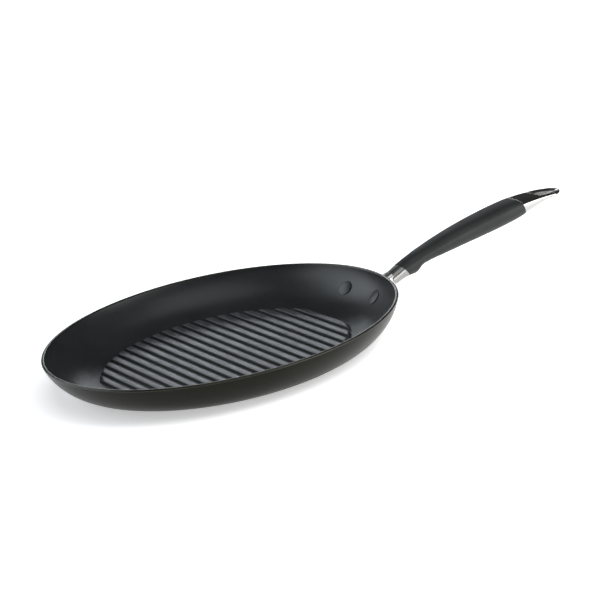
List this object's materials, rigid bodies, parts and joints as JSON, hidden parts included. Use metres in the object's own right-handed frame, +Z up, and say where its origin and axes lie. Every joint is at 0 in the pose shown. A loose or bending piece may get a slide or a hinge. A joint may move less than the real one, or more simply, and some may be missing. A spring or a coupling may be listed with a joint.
{
  "type": "grill pan",
  "caption": "Round non-stick grill pan with a ribbed floor and sloping wall, and a long riveted handle with a soft grip and a polished end cap with a hanging slot.",
  "frame": {"origin": "centre of the pan's flat base, on the surface that it stands on", "axes": "+X from the pan's centre along the handle, +Y along the ribs, +Z up out of the pan"},
  "size_m": [0.4639, 0.2791, 0.0466],
  "materials": {
    "hard_anodised": "hard-anodised, with a satin non-stick coating inside",
    "rivet_metal": "coated like the inside of the pan",
    "bracket_steel": "satin",
    "ferrule_steel": "polished",
    "core_plastic": "moulded",
    "grip_silicone": "matte",
    "screw_steel": "zinc plated",
    "cap_steel": "mirror polished"
  },
  "bodies": {
    "root": {"pan_body": "hard_anodised", "rivets": "rivet_metal", "handle_bracket": "bracket_steel", "neck_ferrule": "ferrule_steel", "grip_core": "core_plastic", "grip_sleeve": "grip_silicone", "tie_screw": "screw_steel", "lock_washer": "screw_steel", "end_cap": "cap_steel", "cap_pin": "screw_steel"}
  },
  "joints": []
}
